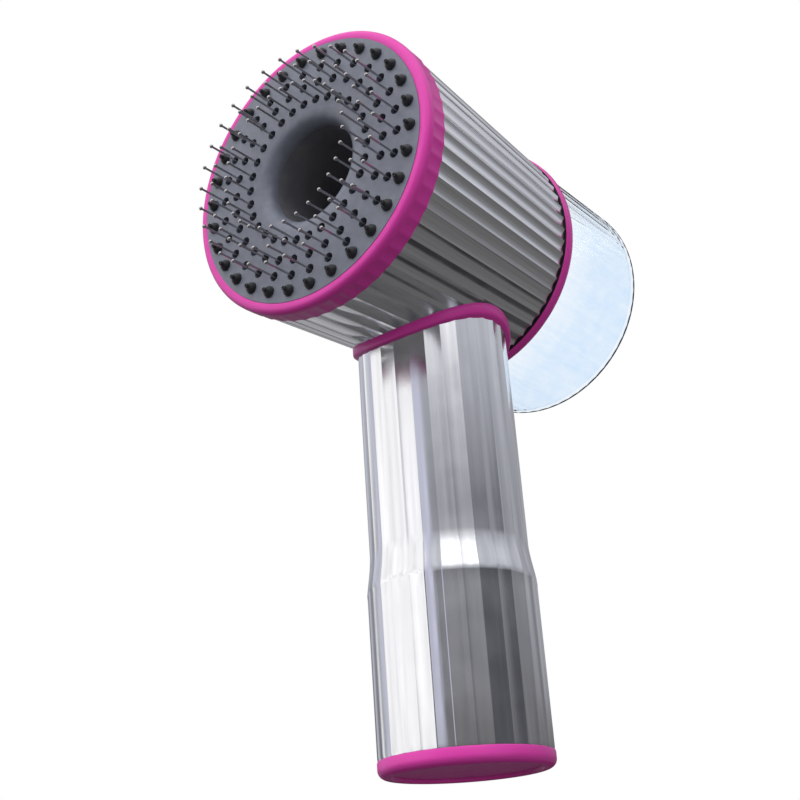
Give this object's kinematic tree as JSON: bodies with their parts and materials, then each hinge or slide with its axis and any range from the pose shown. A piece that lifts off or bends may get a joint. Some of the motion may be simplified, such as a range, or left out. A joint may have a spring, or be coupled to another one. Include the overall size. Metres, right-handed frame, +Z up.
{
  "type": "handheld bath sprayer",
  "caption": "Handheld grooming sprayer: round head with retractable pins and rubber spray nozzles round a funnel, clear rear tank, fluted battery handle.",
  "frame": {"origin": "centre of the shallow recess in the end cap, in the plane of the ring the sprayer stands on", "axes": "+Z up along the handle, -Y the way the brush face looks, +Y towards the tank, +X across"},
  "size_m": [0.084, 0.1268, 0.1984],
  "materials": {
    "bright_metal": "polished, with long hollow flutes",
    "magenta": "glossy moulded",
    "face_grey": "satin",
    "black_rubber": "soft silicone",
    "white_plastic": "moulded",
    "dark_plastic": "moulded",
    "steel": "polished wire and screws",
    "motor_steel": "plated can",
    "clear_tube": "clear silicone",
    "clear_tank": "clear, pale blue",
    "cell_wrap": "shrink wrap",
    "brass": "sprung contact",
    "board_green": "lacquered"
  },
  "bodies": {
    "casing": {"drum_shell": "bright_metal", "front_ring": "magenta", "face_plate": "face_grey", "funnel_tube": "face_grey", "spray_nozzles": "black_rubber", "manifold": "white_plastic", "inner_frame": "white_plastic", "frame_screws": "steel", "jet_nozzle": "dark_plastic", "jet_tube": "clear_tube", "tee_fitting": "white_plastic", "manifold_tube": "clear_tube", "rear_ring": "magenta", "tank_socket": "white_plastic", "socket_seal": "black_rubber", "handle_shell": "bright_metal", "handle_collar": "magenta", "neck_screws": "steel", "battery_holder": "dark_plastic", "battery_cells": "cell_wrap", "cell_springs": "steel", "pump_bracket": "white_plastic", "pump_housing": "dark_plastic", "pump_lid": "dark_plastic", "pump_motor": "motor_steel", "inlet_tube": "clear_tube", "outlet_tube": "clear_tube", "circuit_board": "board_green", "power_switch": "dark_plastic"},
    "pin_carriage": {"pin_carrier": "dark_plastic", "brush_pins": "steel", "slider_arm": "dark_plastic", "slider_knob": "magenta", "knob_screw": "steel"},
    "tank_unit": {"tank": "clear_tank", "tank_closure": "white_plastic"},
    "tank_valve": {"valve_poppet": "dark_plastic", "valve_spring": "steel"},
    "base_cap": {"end_cap": "magenta", "cap_seal": "black_rubber", "contact_plate": "brass"},
    "pump_drive": {"pump_rotor": "white_plastic", "motor_shaft": "steel"},
    "button": {"power_button": "magenta"}
  },
  "joints": [
    {"name": "pin_retract", "type": "slide", "parent": "casing", "child": "pin_carriage", "axis": [0, 1, 0], "range_m": [0, 0.0105]},
    {"name": "tank_pull", "type": "slide", "parent": "casing", "child": "tank_unit", "axis": [0, 1, 0], "range_m": [0, 0.02]},
    {"name": "valve_open", "type": "slide", "parent": "tank_unit", "child": "tank_valve", "axis": [0, 1, 0], "range_m": [0, 0.0015], "stiffness_N_per_m": 300, "springref_m": -0.002, "deforming": ["valve_spring"]},
    {"name": "cap_twist", "type": "hinge", "parent": "casing", "child": "base_cap", "pos_m": [0, 0, 0], "axis": [0, 0, 1], "range_deg": [0, 45]},
    {"name": "pump_spin", "type": "hinge", "parent": "casing", "child": "pump_drive", "pos_m": [0, 0, 0.09], "axis": [0, 0, 1], "continuous": true},
    {"name": "button_press", "type": "slide", "parent": "casing", "child": "button", "axis": [0, -1, 0], "range_m": [0, 0.001], "stiffness_N_per_m": 1500}
  ]
}
